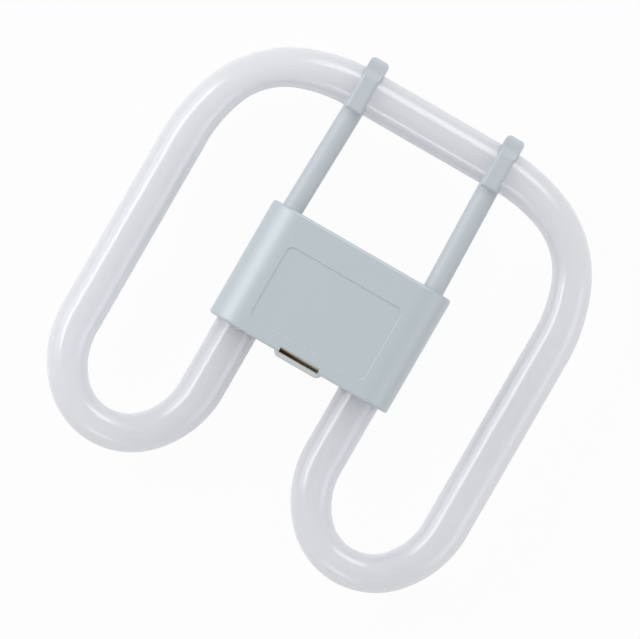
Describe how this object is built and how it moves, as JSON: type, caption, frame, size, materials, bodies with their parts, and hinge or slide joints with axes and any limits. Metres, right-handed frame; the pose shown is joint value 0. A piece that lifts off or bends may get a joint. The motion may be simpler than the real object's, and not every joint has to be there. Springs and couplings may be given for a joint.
{
  "type": "square compact fluorescent lamp",
  "caption": "Flat white fluorescent tube bent into a square with hairpin legs that enter a central plug-in cap, held by slim struts with snap hooks.",
  "frame": {"origin": "under the middle of the lamp's outline, in the plane of the plug block's rim", "axes": "+X across the lamp, +Y from the hairpin bends to the clips, +Z out of the front face; the lamp lies on its plug block"},
  "size_m": [0.138, 0.1404, 0.0275],
  "materials": {
    "tube_glass": "gloss over white phosphor",
    "shell_plastic": "satin",
    "strut_plastic": "satin",
    "spring_bronze": "dull",
    "pin_brass": "polished",
    "seal_silicone": "matte",
    "starter_glass": "clear",
    "capacitor_coat": "dipped",
    "lead_wire": "tinned",
    "ferrule_metal": "tinned",
    "sleeve_fibre": "woven"
  },
  "bodies": {
    "root": {"capacitor": "capacitor_coat", "discharge_tube": "tube_glass", "front_shell": "shell_plastic", "latch_spring": "spring_bronze", "left_capacitor_lead": "lead_wire", "left_contact_pin": "pin_brass", "left_ferrule": "ferrule_metal", "left_lead_sleeve": "sleeve_fibre", "left_link_lead": "lead_wire", "left_pin_lead": "lead_wire", "left_starter_lead": "lead_wire", "left_strut": "strut_plastic", "left_tube_seal": "seal_silicone", "rear_shell": "shell_plastic", "right_capacitor_lead": "lead_wire", "right_contact_pin": "pin_brass", "right_ferrule": "ferrule_metal", "right_lead_sleeve": "sleeve_fibre", "right_link_lead": "lead_wire", "right_pin_lead": "lead_wire", "right_starter_lead": "lead_wire", "right_strut": "strut_plastic", "right_tube_seal": "seal_silicone", "starter_bulb": "starter_glass"}
  },
  "joints": []
}
